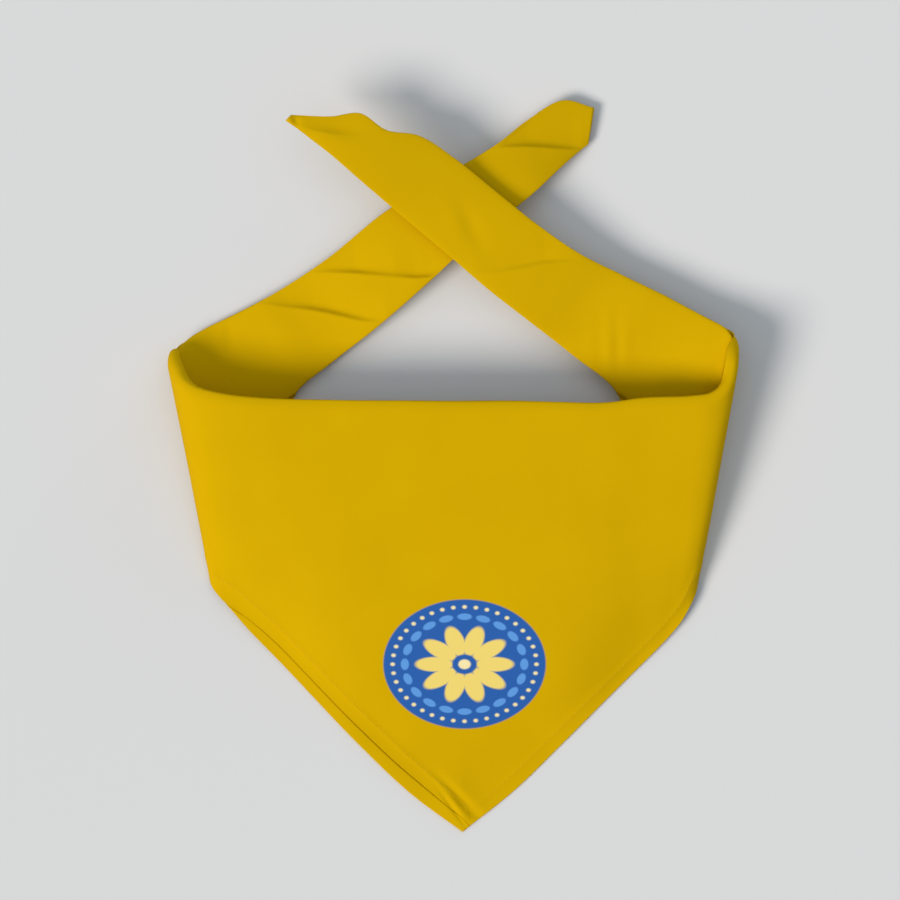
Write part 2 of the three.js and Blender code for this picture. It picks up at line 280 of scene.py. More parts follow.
def crease(plan, line, fade):
    """A step along a line that runs mainly sideways, with its depth given at each point.
    Above the line the cloth falls by depth times 1 - exp(-gap / fade) and comes back over
    RECOVERY. Round the line a swell of SWELL times the depth runs out on both sides."""
    line = np.array(line, dtype=float)
    level, depth = (np.interp(plan[..., 0], line[:, 0], line[:, k]) for k in (1, 2))
    gap = plan[..., 1] - level
    above, below = np.clip(gap, 0, None), np.clip(-gap, 0, None)
    fall = (1 - np.exp(-above / fade)) * np.exp(-((above / RECOVERY) ** 2))
    return depth * (SWELL * np.exp(-(below / SWELL_BELOW) - (above / SWELL_ABOVE)) - fall)


def bump(plan, centre, reach, turn, height):
    """A soft hill: height times exp of minus the squared distance, in an ellipse of the two
    reaches that is turned by an angle in degrees."""
    angle = np.radians(turn)
    away = plan - np.array(centre)
    along = away[..., 0] * np.cos(angle) + away[..., 1] * np.sin(angle)
    across = away[..., 1] * np.cos(angle) - away[..., 0] * np.sin(angle)
    return height * np.exp(-((along / reach[0]) ** 2) - (across / reach[1]) ** 2)


print("a crease 1 mm deep falls", -crease(np.array([0.0, 3.0]), [(0, 0, 1)], 1.2).round(2), "mm in 3 mm")

# %% [markdown]
# ## The folds of the neck band
# The band is rolled from a triangle, so its layers end at a slant and pull at one another. That
# shows as a few short creases. The lower tail has three, two before the crossing and one past
# it. The upper tail has one before the crossing and a broad one under the flap at its end.

# %% Creases and hills of the band, in millimetres
UNDER, OVER = 0, 1
BAND_CREASES = [
    # the tail it lies on, the fade, and its points: x, y and the depth there
    (UNDER, 1.25, [(-99, 78.7, 0), (-91, 77.9, 0.5), (-78.6, 76.2, 1.2), (-68, 75.0, 2.3),
                   (-59, 73.3, 2.6), (-49, 70.9, 2.2), (-42.4, 69.5, 1.6), (-32, 69.0, 0)]),
    (UNDER, 1.15, [(-71, 92.6, 0), (-59.2, 93.0, 1.3), (-47.2, 92.6, 2.4), (-37.6, 91.8, 1.7),
                   (-28, 91.0, 1.3), (-18.4, 90.2, 2.1), (-11.2, 90.6, 1.8), (-3, 92.0, 0.9)]),
    (UNDER, 1.3, [(20, 152.6, 0), (26, 153.2, 1.2), (36, 153.4, 1.9), (48, 152.6, 1.8),
                  (57, 152.0, 1.1), (62, 151.8, 0.5)]),
    (OVER, 0.8, [(11, 91.8, 0), (22.4, 93.0, 0.8), (32.0, 94.9, 1.3), (44.0, 97.4, 1.4),
                 (52, 98.0, 0.6), (62, 97.8, 0)]),
    (OVER, 4.5, [(-78, 164.8, 0.4), (-73.4, 163.2, 0.9), (-66.2, 160.9, 1.2), (-59, 159.6, 1.2),
                 (-51.8, 158.8, 0.9), (-44.6, 158.4, 0.5), (-36, 158.0, 0)]),
]
OVER_HILLS = [
    # middle, reach along and across, turn in degrees and height: the dent at the crossing, the
    # swell beside it, the flap's rounded fold, and the curl of the tip as a hill and a hollow
    ((9.0, 114.0), (11.0, 4.6), -62, -0.7),
    ((2.0, 119.0), (12.0, 5.0), -62, 0.35),
    ((-61.0, 158.6), (12.0, 3.8), -14, 1.2),
    ((-78.6, 167.2), (1.6, 2.6), 30, 0.7),
    ((-75.2, 165.6), (1.5, 2.2), 30, -0.6),
]
LEFT_HOLLOW = ((-107.5, 62.0), (3.0, 9.0), 0, -0.4)
RIGHT_FOLDS = ((77.0, 58.0), (9.0, 13.0), 0, 0.28)
RIGHT_FOLDS_AT = 74.5
RIGHT_FOLDS_APART = 9.5


def band_relief(plan, s):
    """The sum of all creases and hills of the band. The tails cross, so each is kept to its own
    tail by the section it lies on. Beside the right turn, soft folds are a hill times the cosine
    of x, one for each RIGHT_FOLDS_APART."""
    upper = np.where(s > CENTRE, 1.0, 0.0)
    relief = np.zeros(plan.shape[:-1])
    for tail, fade, line in BAND_CREASES:
        relief += (upper if tail == OVER else 1 - upper) * crease(plan, line, fade)
    for hill in OVER_HILLS:
        relief += upper * bump(plan, *hill)
    waves = np.cos((plan[..., 0] - RIGHT_FOLDS_AT) * 2 * np.pi / RIGHT_FOLDS_APART)
    return relief + waves * bump(plan, *RIGHT_FOLDS) + bump(plan, *LEFT_HOLLOW)


print(f"{len(BAND_CREASES)} creases and {len(OVER_HILLS) + 2} hills on the band")

# %% [markdown]
# ## One way to make every cloth
# Each piece is a ring of points, repeated along the loop: down the outer face, round the edge
# and back up the inner face. The rings are joined by squares, and both ends are closed by squares
# between the faces, so the mesh is one closed skin with its faces outwards.
# The cloth gets its own map: how far along the band, and how far down from the fold. A weave
# that reads this map follows every turn and fold as real threads do.

# %% Stations and the closed skin
TRIAL_POINTS = 400


def stations(places, steps):
    """Places along the middle of the cloth, an even step of millimetres apart, with every given
    place kept. The steps are a list, one for each stretch between two places."""
    found = [np.array([float(places[0])])]
    for start, stop, step in zip(places[:-1], places[1:], steps):
        fine = np.linspace(start, stop, TRIAL_POINTS)
        way = way_along(cloth(fine, np.full_like(fine, 0.5)))
        count = max(2, int(np.ceil(way[-1] / step)))
        found.append(np.interp(np.linspace(0, way[-1], count + 1)[1:], way, fine))
    return np.concatenate(found)[:, None]


def skin_faces(rows, ring):
    """Corner numbers of the squares: one between each two neighbours in a ring and in the next
    ring, and at both ends one between points that face each other across the ring."""
    i = np.arange(rows - 1)[:, None]
    j = np.arange(ring)[None, :]
    k = (j + 1) % ring
    sides = np.stack([i * ring + j, i * ring + k, (i + 1) * ring + k, (i + 1) * ring + j], axis=-1)
    a = np.arange(ring // 2 - 1)
    first = np.stack([a, ring - 1 - a, ring - 2 - a, a + 1], axis=-1)
    last = (rows - 1) * ring + first[:, ::-1]
    return np.concatenate([sides.reshape(-1, 4), first, last])


def mesh_object(name, points, faces):
    """A smooth mesh from points in millimetres, as an object at the origin."""
    mesh = bpy.data.meshes.new(name)
    mesh.from_pydata((points.reshape(-1, 3) * MM).tolist(), [], faces)
    mesh.polygons.foreach_set("use_smooth", np.ones(len(faces), dtype=bool))
    piece = bpy.data.objects.new(name, mesh)
    bpy.context.scene.collection.objects.link(piece)
    return piece


def cloth_mesh(name, rings, across, materials, printed=0):
    """Make the rings a piece. Its map holds the way along the middle of a face and the way down
    from the fold, in metres. The first printed columns take the second material."""
    rows, ring = rings.shape[:2]
    faces = skin_faces(rows, ring)
    piece = mesh_object(name, rings, faces.tolist())
    mesh = piece.data
    along = way_along(rings[:, ring // 4])
    flat_map = np.stack([along[:, None] + 0 * across, across], axis=-1).reshape(-1, 2) * MM
    corners = np.empty(len(mesh.loops), dtype=np.int32)
    mesh.loops.foreach_get("vertex_index", corners)
    mesh.uv_layers.new(name="cloth").data.foreach_set("uv", flat_map[corners].ravel())
    column = np.tile(np.arange(ring), rows - 1)
    numbers = np.concatenate([column < printed, np.zeros(len(faces) - len(column), dtype=bool)])
    mesh.polygons.foreach_set("material_index", numbers.astype(np.int32))
    for material in materials:
        mesh.materials.append(material)
    mesh.update()
    size = rings.reshape(-1, 3).max(axis=0) - rings.reshape(-1, 3).min(axis=0)
    print(f"{name}: {len(faces)} squares, {size[0]:.0f} x {size[1]:.0f} x {size[2]:.0f} mm")
    return piece


# %% [markdown]
# ## Plain-weave cotton
# Bandana cotton is dyed in the piece and has a flat, matt face. Light sinks into the threads and
# comes back evenly, so the shader is almost all diffuse: high roughness and very little of the
# mirror part. The threads run along the edges of the square, which is at 45 degrees to the
# fold. Real threads lie about 0.45 mm apart. That is finer than one pixel of the picture, so
# they are drawn 1.1 mm apart, just coarse enough to show as a grain.
# A plain weave is the product of two sine waves: each high place is a thread passing over.
# A noise whose spots are two threads long makes it uneven, and another, of about 31 mm, clouds
# the dye a little.


# %% Colours and nodes
def colour(code):
    """sRGB hex to linear: (c / 12.92) below 0.04045, else ((c + 0.055) / 1.055) to the 2.4."""
    parts = np.array([int(code[i : i + 2], 16) for i in (1, 3, 5)]) / 255
    linear = np.where(parts <= 0.04045, parts / 12.92, ((parts + 0.055) / 1.055) ** 2.4)
    return (*linear.tolist(), 1.0)


def add(tree, kind, links=None, **settings):
    """Add one node. A setting is a socket's value where the name starts with socket_, and a
    property of the node otherwise. A link gives a socket the output it reads from."""
    node = tree.nodes.new(f"ShaderNode{kind}")
    for name, value in settings.items():
        if name.startswith("socket_"):
            key = name.removeprefix("socket_")
            node.inputs[int(key) if key.isdigit() else key.replace("_", " ")].default_value = value
        else:
            setattr(node, name, value)
    for socket, output in (links or {}).items():
        tree.links.new(output, node.inputs[socket])
    return node


def empty_material(name):
    """A material without nodes, and its node tree."""
    material = bpy.data.materials.new(name)
    material.use_nodes = True
    material.node_tree.nodes.clear()
    return material, material.node_tree


THREAD = 1.1 * MM
WEAVE_HEIGHT = 0.05 * MM
SLUBS_A_THREAD = 0.5
CLOUDS_A_METRE = 32.0
YELLOW = "#CCA300"
YELLOW_DEEP = "#CAA100"


def woven_cotton(name, printed=False):
    """Matt cotton. Its bump is sin(warp) times sin(weft) times noise, and its colour goes from
    one yellow to the other with a second noise."""
    material, tree = empty_material(name)
    cloth_map = add(tree, "UVMap", uv_map="cloth").outputs["UV"]
    threads = add(tree, "Mapping", {"Vector": cloth_map}, vector_type="POINT",
                  socket_Rotation=(0, 0, np.radians(45)), socket_Scale=(1 / THREAD,) * 3)
    pair = add(tree, "SeparateXYZ", {"Vector": threads.outputs[0]})
    turns = [add(tree, "Math", {0: pair.outputs[k]}, operation="MULTIPLY", socket_1=np.pi)
             for k in (0, 1)]
    warp, weft = (add(tree, "Math", {0: turn.outputs[0]}, operation="SINE") for turn in turns)
    weave = add(tree, "Math", {0: warp.outputs[0], 1: weft.outputs[0]}, operation="MULTIPLY")
    slub = add(tree, "TexNoise", {"Vector": threads.outputs[0]}, socket_Scale=SLUBS_A_THREAD,
               socket_Detail=2.0)
    height = add(tree, "Math", {0: weave.outputs[0], 1: slub.outputs[0]}, operation="MULTIPLY")
    cloud = add(tree, "TexNoise", {"Vector": cloth_map}, socket_Scale=CLOUDS_A_METRE,
                socket_Detail=3.0)
    dye = add(tree, "MapRange", {"Value": cloud.outputs[0]}, socket_From_Min=0.35,
              socket_From_Max=0.65)
    yellow = add(tree, "Mix", {"Factor": dye.outputs[0]}, data_type="RGBA",
                 socket_6=colour(YELLOW), socket_7=colour(YELLOW_DEEP)).outputs[2]
    surface = medallion(tree, yellow) if printed else yellow
    shape = add(tree, "Bump", {"Height": height.outputs[0]}, socket_Strength=0.35,
                socket_Distance=WEAVE_HEIGHT)
    shader = add(tree, "BsdfPrincipled", {"Base Color": surface, "Normal": shape.outputs[0]},
                 socket_Roughness=0.95, socket_Metallic=0.0, socket_IOR=1.5,
                 socket_Specular_IOR_Level=0.04)
    add(tree, "OutputMaterial", {"Surface": shader.outputs[0]})
    return material


print("the yellow of the cloth in linear light:", np.round(colour(YELLOW)[:3], 3))

# %% [markdown]
# ## The printed medallion
# Near the tip the real cloth carries one oval, screen printed in flat inks. Here it holds a plain
# flower in a wreath: ten pale petals round a blue eye, a ring of light blue leaves and a ring of
# cream dots. Every motif is an ellipse that is repeated round the middle, so one table describes
# them all. To repeat one, the angle is folded back and forth like a paper fan, and the ellipse is
# then drawn once, on the fan's edge. Such shapes stay sharp at any size, as an image wouldn't.
# The inks lie in the threads, so they share the cloth's weave and roughness.

# %% Medallion
OVAL_AT = (5.6, -94.6)
OVAL_HALF = (38.8, 31.2)
INK_EDGE = 0.012
BLUE_INK = "#2C5DA6"
PALE_INK = "#E9D070"
LIGHT_BLUE_INK = "#5C95D7"
CREAM_INK = "#EFE0A8"
MOTIFS = [
    # count, distance from the middle, half length outwards, half width, ink, in half widths of
    # the oval: the ground, petals, eye, its dot, leaves and dots
    (1, 0.0, 1.0, 1.0, BLUE_INK),
    (10, 0.37, 0.235, 0.112, PALE_INK),
    (1, 0.0, 0.15, 0.15, BLUE_INK),
    (1, 0.0, 0.075, 0.075, CREAM_INK),
    (20, 0.735, 0.05, 0.088, LIGHT_BLUE_INK),
    (40, 0.885, 0.026, 0.026, CREAM_INK),
]


def medallion(tree, cloth_colour):
    """The inks over the cloth. For each motif the angle becomes its distance from the nearest of
    the motif's places. With the radius that gives a point, and it is ink where the point's
    distance from the ellipse's middle is under 1, in its half length and half width."""
    own_place = add(tree, "TexCoord").outputs["Object"]
    centred = add(tree, "Mapping", {"Vector": own_place}, vector_type="TEXTURE",
                  socket_Location=(OVAL_AT[0] * MM, OVAL_AT[1] * MM, 0),
                  socket_Scale=(OVAL_HALF[0] * MM, OVAL_HALF[1] * MM, 1))
    flat = add(tree, "VectorMath", {0: centred.outputs[0]}, operation="MULTIPLY",
               socket_1=(1, 1, 0))
    parts = add(tree, "SeparateXYZ", {"Vector": flat.outputs[0]})
    radius = add(tree, "VectorMath", {0: flat.outputs[0]}, operation="LENGTH").outputs["Value"]
    angle = add(tree, "Math", {0: parts.outputs[1], 1: parts.outputs[0]}, operation="ARCTAN2")
    ink = cloth_colour
    for count, middle, half_length, half_width, code in MOTIFS:
        folded = add(tree, "Math", {0: angle.outputs[0]}, operation="PINGPONG",
                     socket_1=np.pi / count)
        spot = add(tree, "CombineXYZ", {"X": radius})
        spot = add(tree, "VectorRotate", {"Vector": spot.outputs[0], "Angle": folded.outputs[0]},
                   rotation_type="Z_AXIS")
        spot = add(tree, "VectorMath", {0: spot.outputs[0]}, operation="SUBTRACT",
                   socket_1=(middle, 0, 0))
        spot = add(tree, "VectorMath", {0: spot.outputs[0]}, operation="DIVIDE",
                   socket_1=(half_length, half_width, 1))
        away = add(tree, "VectorMath", {0: spot.outputs[0]}, operation="LENGTH")
        blur = INK_EDGE / half_width
        mask = add(tree, "MapRange", {"Value": away.outputs["Value"]}, socket_From_Min=1 + blur,
                   socket_From_Max=1 - blur)
        ink = add(tree, "Mix", {"Factor": mask.outputs[0], 6: ink}, data_type="RGBA",
                  socket_7=colour(code)).outputs[2]
    return ink


plain_cotton = woven_cotton("plain-weave cotton")
printed_cotton = woven_cotton("screen-printed cotton", printed=True)
print("materials:", [material.name for material in bpy.data.materials])

# %% [markdown]
# ## Two layers
# The bib is two layers, the outer and the inner half of the folded square. They touch in
# reality, and lie a tenth of a millimetre apart here, so neither cuts through the other. The
# fold isn't quite on the diagonal, so the front layer ends sooner along the left free edge.

# %% Where the layers lie
# Millimetres below the surface: the front layer's outer face, and both faces of the under layer
OUTER_FACE = -0.5
UNDER_FACE = 0.12
INNER_FACE = 0.62
# Thickness of the front layer, and how much of the under layer shows at the side and at the tip
CLOTH = 0.5
UNDER_SHOWS = 9.2
TIP_SHOWS = 7.0
# In sections: where it starts to show and shows in full, and how far past the tip it ends
SHOWS_FROM = AT["left shoulder"] + 0.2
SHOWS_IN_FULL = AT["left chest"] + 0.1
TIP_REACH = 0.15


def tuck(s):
    """1 on the wings, where the layers lie flat under the roll, and 0 in front."""
    left = 1 - ramp(AT["left turn low"], AT["left corner"], s)
    return np.maximum(left, ramp(AT["right corner"], AT["right turn low"], s))


def turned(s):
    """1 in both side turns, where the whole thickness of the band stands on edge under the
    fold, and 0 in the middle, where only the cloth turns over."""
    left = 1 - ramp(AT["left shoulder"], AT["left chest side"], s)
    return np.maximum(left, ramp(AT["right chest side"], AT["right shoulder low"], s))


def shown(s):
    """How far the front layer stops short of the outline along the left free edge: it grows to
    UNDER_SHOWS over the left chest, shrinks to TIP_SHOWS at the tip and ends just past it."""
    side = UNDER_SHOWS * ramp(SHOWS_FROM, SHOWS_IN_FULL, s)
    side = side + (TIP_SHOWS - UNDER_SHOWS) * ramp(AT["left tip side"], CENTRE, s)
    return np.where(s < CENTRE, side, TIP_SHOWS * np.clip(1 - (s - CENTRE) / TIP_REACH, 0, 1))


def edge_lean(s):
    """Sine of the angle between the section and the free edge. A distance down the section times
    this is the distance square to the edge."""
    side = np.where(s < CENTRE, -1.0, 1.0)
    step = 0.03
    tangent = unit(side[..., None] * (edge_curve(s + side * step) - edge_curve(s)))
    down = unit(cloth(s, np.ones_like(s)) - cloth(s, np.zeros_like(s)))
    return np.linalg.norm(np.cross(down, tangent), axis=-1)


shows_left = shown(np.array([AT["left middle"]]))[0]
print(f"the under layer shows {shows_left:.1f} mm wide at the left")

# %% [markdown]
# ## The top fold
# A cloth that turns over a roll follows it in a wide arc, and at the very top it turns sharply.
# So the fold is two arcs that join smoothly: a wide crest that tilts the cloth up to 30 degrees,
# and a lip that takes it round. In the side turns the whole band stands on edge inside the fold,
# so the lip is wider there.

# %% The top fold
CREST_RADIUS = 10.5
CREST_TILT = np.radians(30)
LIP_RADIUS = 1.35
TURN_LIP_RADIUS = 3.1
# The cloth's tilts, in degrees, at which the fold has a point
ARC = np.radians([158, 140, 120, 100, 80, 65, 50, 40, 30, 25, 20, 15, 10, 5])


def lip_radius(s):
    """LIP_RADIUS in the middle and TURN_LIP_RADIUS in the side turns."""
    return LIP_RADIUS + (TURN_LIP_RADIUS - LIP_RADIUS) * turned(s)


def fold_start(s):
    """Where the fold ends and the straight section begins: the reach of both arcs."""
    crest = np.sin(CREST_TILT)
    return CREST_RADIUS * crest + lip_radius(s) * (1 - crest) + OUTER_FACE


def fold_profile(s, angle, depth):
    """Distance and depth of a point of the top fold, where the cloth is tilted by the angle.
    Up to CREST_TILT it lies on an arc of CREST_RADIUS, and then on the lip's small arc. A layer
    further in has radii smaller by what it lies deeper."""
    inside = depth - OUTER_FACE
    crest = np.minimum(angle, CREST_TILT)
    big, small = CREST_RADIUS - inside, lip_radius(s) - inside
    reach = fold_start(s) - big * np.sin(crest) - small * (np.sin(angle) - np.sin(crest))
    return reach, depth + big * (1 - np.cos(crest)) + small * (np.cos(crest) - np.cos(angle))


print(f"the fold takes {fold_start(np.array([float(CENTRE)]))[0]:.1f} mm of each section in the middle")

# %% [markdown]
# ## Low relief
# Cloth that is laid by hand keeps slow waves, a fraction of a millimetre high. The tip has been
# handled most: a few turns of hem meet there, so it stands off the table and is crumpled.
# Sines give the waves, and a few soft hills and hollows the crumple.

# %% Waves and the crumpled tip
WAVES = [
    # height, length across, length up and phase
    (0.16, 17, 41, 0.6),
    (0.12, 31, -19, 2.1),
    (0.06, 9.5, 13, 4.0),
]
TIP_HILLS = [
    # middle, reach along and across, turn in degrees and height: a low dome, a valley into the
    # corner, a ridge and a fine crease beside it, and a pinch at the right edge
    ((3.0, -160.5), (17.0, 8.0), -47, 1.1),
    ((3.8, -159.6), (13.0, 2.2), -46, -1.3),
    ((1.5, -162.5), (6.0, 1.4), -52, 0.6),
    ((0.2, -164.8), (10.0, 1.0), -54, -0.6),
    ((10.2, -167.0), (2.6, 1.8), -20, -1.0),
]


def soft_waves(plan):
    """The sum of height times sin(x / across + y / up + phase)."""
    x, y = plan[..., 0], plan[..., 1]
    return sum(height * np.sin(x / across + y / up + phase) for height, across, up, phase in WAVES)


def tip_relief(plan):
    """The sum of the hills and hollows of the tip."""
    return sum(bump(plan, *hill) for hill in TIP_HILLS)


print(f"{len(WAVES)} waves, {len(TIP_HILLS)} hills at the tip")

# %% [markdown]
# ## Points of a layer
# Both layers are made by one function. A point is given by its section and how far down it lies,
# or by the cloth's tilt while it is still on the fold. In front the cloth lies on the table, so
# its free edge sinks onto it, and what would come out below is pressed up softly.
# Columns of points lie close together where the hem and the fold need them, wide apart between.

# %% Layer points and the closed shell
# How far a fold that is laid flat starts from the outline, how far the free edge sinks and over
# what length, the gap over the table, and how softly the table presses back
LAID_START = 1.2
SINK = 1.25
SINK_OVER = 45.0
TABLE_GAP = 0.05
PRESS = 0.12
# Wide steps down to NEAR before the edge, then finer ones to CLOSE and to the edge itself
NEAR, CLOSE = 40, 10
WIDE_POINTS, NEAR_POINTS, CLOSE_POINTS = 40, 28, 26
EDGE_TURNS = np.radians([60, 120])


def settle(s, left_over):
    """SINK at the free edge in front, and nothing from SINK_OVER before it."""
    return SINK * (1 - tuck(s)) * (1 - ramp(0.0, SINK_OVER, left_over))


def layer_point(s, distance, angle, depth, relief):
    """A point of a layer at a depth, on the fold's profile or past it on the straight section.
    On the wings the profile is laid flat. The relief is a function of the seen place, added
    along the normal. In front the height over the layer's rest becomes PRESS times the log of
    1 + exp(height / PRESS), which is never below nothing."""
    on_arc = angle > 0
    laid = LAID_START + (fold_start(s) - LAID_START) * (1 - angle / ARC[0])
    bent, lower = fold_profile(s, angle, depth)
    reach = np.where(on_arc, bent + (laid - bent) * tuck(s), distance)
    sunk = np.where(on_arc, lower + (depth - lower) * tuck(s), depth)
    on_surface, normal = in_cloth(s, reach, sunk)
    lift = relief(seen(on_surface)) * np.clip(1 - np.sin(angle), 0, 1)
    points = on_surface + normal * lift[..., None]
    points[..., 2] -= settle(s, section_length(s + 0 * distance) - reach)
    rest = TABLE_GAP + INNER_FACE - depth
    pressed = rest + PRESS * np.logaddexp(0, (points[..., 2] - rest) / PRESS)
    points[..., 2] += (pressed - points[..., 2]) * (1 - tuck(s))
    return points


def columns(s, length):
    """Distances down each section and the tilts there: the arc's tilts first, then WIDE_POINTS
    to NEAR before the edge, 1.1 mm steps to CLOSE before it and 0.4 mm steps to the edge."""
    wide = np.linspace(0, 1, WIDE_POINTS)[None, :]
    wide = fold_start(s) + (length - NEAR - fold_start(s)) * wide
    near = np.concatenate([np.linspace(NEAR, CLOSE, NEAR_POINTS)[1:],
                           np.linspace(CLOSE, 0, CLOSE_POINTS)[1:]])
    flat = np.concatenate([wide, length - near + 0 * s], axis=1)
    arc = np.tile(fold_start(s), (1, len(ARC)))
    angle = np.concatenate([np.tile(ARC, (len(s), 1)), np.zeros(flat.shape)], axis=1)
    return np.concatenate([arc, flat], axis=1), angle


def shell(s, distance, angle, outer_depth, inner_depth, outer_relief, inner_relief):
    """Rings down the outer face, round a half-round edge and back up the inner face. The edge's
    points are its middle, plus half the way across times the cosine of EDGE_TURNS and as far
    outwards times the sine."""
    outer = layer_point(s, distance, angle, outer_depth, outer_relief)
    inner = layer_point(s, distance, angle, inner_depth, inner_relief)
    middle = (outer[:, -1:] + inner[:, -1:]) / 2
    half = (outer[:, -1:] - inner[:, -1:]) / 2
    way_out = unit(outer[:, -1:] - outer[:, -2:-1]) * np.linalg.norm(half, axis=-1, keepdims=True)
    edge = [middle + half * np.cos(turn) + way_out * np.sin(turn) for turn in EDGE_TURNS]
    rings = np.concatenate([outer, *edge, inner[:, ::-1]], axis=1)
    last = distance[:, -1:]
    return rings, np.concatenate([distance, last, last, distance[:, ::-1]], axis=1)


print(f"{len(ARC) + WIDE_POINTS + NEAR_POINTS + CLOSE_POINTS - 2} points down each face of a layer")

# %% [markdown]
# ## The front layer of the bib
# The outer half of the folded square runs from wing to wing. In front it turns over the roll at
# the top fold, on the back it lies flat under it. Its free edges are turned hems: three
# thicknesses that stand a little proud, with a stitched line inside them.
# The cloth is half a millimetre thick here, with its outer face where the solid's outer face is.

# %% Front layer
FRONT_PLACES = [AT["left wing end"], AT["left turn low"], AT["left shoulder top"], CENTRE,
                CENTRE + TIP_REACH, AT["right shoulder"], AT["right turn low"], AT["right wing end"]]
FRONT_STEPS = [2.0, 0.8, 1.25, 0.5, 1.25, 0.8, 2.0]
HEM_AT = 6.3
SEAM_HEIGHT, SEAM_REACH = 0.2, 1.5
RISE_HEIGHT, RISE_REACH = 0.16, 1.6

front_s = stations(FRONT_PLACES, FRONT_STEPS)
front_length = section_length(front_s) - shown(front_s)
front_down, front_angle = columns(front_s, front_length)


def front_relief(s, distance, length):
    """Waves and tip, plus a seam HEM_AT from the edge and a rise at the edge itself. The seam
    falls off as exp(-(distance / reach)²) and the rise as exp(-distance / reach)."""
    to_edge = (length - distance) * edge_lean(s + 0 * distance)
    seam = SEAM_HEIGHT * np.exp(-(((to_edge - HEM_AT) / SEAM_REACH) ** 2))
    rise = RISE_HEIGHT * np.exp(-to_edge / RISE_REACH)
    flat = 1 - tuck(s)

    def relief(plan):
        return flat * (seam + rise + soft_waves(plan) + tip_relief(plan))

    return relief


both_faces = front_relief(front_s, front_down, front_length)
front_rings, front_across = shell(front_s, front_down, front_angle, OUTER_FACE,
                                  OUTER_FACE + CLOTH, both_faces, both_faces)
front = cloth_mesh("front_bib_cloth", front_rings, front_across,
                   [plain_cotton, printed_cotton], printed=front_down.shape[1] - 1)
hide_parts("front_bib")
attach(front, "root")

# %% [markdown]
# ## The under layer of the bib
# The inner half of the square lies just under the front one. Where it shows, along the left free
# edge, it puffs up to the front layer's height, and a dark furrow is left between the two. The
# furrow is widest along the middle of the edge and closes towards the side and the tip.

# %% Under layer
UNDER_PUFF = 0.6
PUFF_RISE = 0.45
PUFF_CROWN = 0.28
FURROW = 0.5
FURROW_AT_ENDS = 0.1

under_length = section_length(front_s)
under_down, under_angle = columns(front_s, under_length)


def under_relief(s, distance, length):
    """Waves and tip as in front for both faces, and the hem's puff for the outer one. It rises
    over PUFF_RISE where the front layer and the furrow have ended, and is round across: 1 less
    PUFF_CROWN times 1 - sin(0.1 to 0.9 of pi)."""
    lean = edge_lean(s + 0 * distance)
    to_edge = (length - distance) * lean
    width = shown(s) * lean
    stretch = ramp(AT["left chest side"], AT["left chest"], s)
    stretch = stretch * (1 - ramp(AT["left tip side"], CENTRE, s))
    furrow = FURROW * (FURROW_AT_ENDS + (1 - FURROW_AT_ENDS) * stretch)
    puff = UNDER_PUFF * ramp(0.0, PUFF_RISE, width - furrow - to_edge)
    across = 0.1 + 0.8 * np.clip(to_edge / np.maximum(width, 0.1), 0, 1)
    puff = puff * (1 - PUFF_CROWN + PUFF_CROWN * np.sin(np.pi * across))
    flat = 1 - tuck(s)

    def plain(plan):
        return flat * (soft_waves(plan) + tip_relief(plan))

    def puffed(plan):
        return flat * puff + plain(plan)

    return puffed, plain


outer_relief, inner_relief = under_relief(front_s, under_down, under_length)
under_rings, under_across = shell(front_s, under_down, under_angle, UNDER_FACE,
                                  INNER_FACE, outer_relief, inner_relief)
under = cloth_mesh("under_bib_cloth", under_rings, under_across, [plain_cotton])
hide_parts("under_bib")
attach(under, "root")

# %% [markdown]
# ## The rolled neck band
# The long edge is rolled over itself a few times and pressed flat. Its section is a flattened
# round, fuller in the middle and thin at both folds, which a superellipse gives. It is one
# length from tail to tail: alone in the tails, inside the fold along the bib. Where a corner of
# the square ends inside the roll, the outermost turn shows it as a slanting crease.

# %% Thickness of the roll
ROLL = 3.0
ROLL_TAIL = 2.2
ROLL_OUTER, ROLL_INNER = 0.75, 5.3
TURN_ROLL_INNER = 6.1
SETBACK = 2.6
# In sections: how far before each wing's end the change to the bib starts, and where it is over
CHANGE_FROM, CHANGE_OVER = 0.6, 0.2


def roll_faces(s):
    """Depths of the roll's outer and inner face: from the outer face of the cloth in the tails,
    and from just inside the under layer along the bib."""
    left = ramp(AT["left crease"] - CHANGE_FROM, AT["left wing end"] - CHANGE_OVER, s)
    right = 1 - ramp(AT["right wing end"] + CHANGE_OVER, AT["right band"] + CHANGE_FROM, s)
    inside = np.minimum(left, right)
    grown = np.minimum(ramp(AT["left tail end"], AT["left crossing"], s),
                       1 - ramp(AT["right crossing"], AT["right tail end"], s))
    tail = ROLL_TAIL + (ROLL - ROLL_TAIL) * grown
    outer = OUTER_FACE + (ROLL_OUTER - OUTER_FACE) * inside
    inner = ROLL_INNER + (TURN_ROLL_INNER - ROLL_INNER) * turned(s) * (1 - tuck(s))
    return outer, OUTER_FACE + tail + (inner - OUTER_FACE - tail) * inside


def roll_setback(s):
    """How far the roll stays behind the top fold: SETBACK in front, nothing past the turns."""
    left = ramp(AT["left under"] + 0.5, AT["left corner"], s)
    right = 1 - ramp(AT["right corner"] + 0.5, AT["right under"], s)
    return SETBACK * np.minimum(left, right)


BAND_PLACES = [0, AT["left under"], AT["left shoulder top"], AT["right shoulder top"],
               AT["right under"], LAST]
BAND_STEPS = [1.0, 1.6, 5.0, 1.6, 1.0]
band_s = stations(BAND_PLACES, BAND_STEPS)
roll_outer, roll_inner = roll_faces(band_s)
roll_start = roll_setback(band_s)
roll_stop = section_length(band_s) * np.interp(band_s, np.arange(LAST + 1), shares)
print(f"the roll is {(roll_stop - roll_start).max():.0f} mm wide at most")

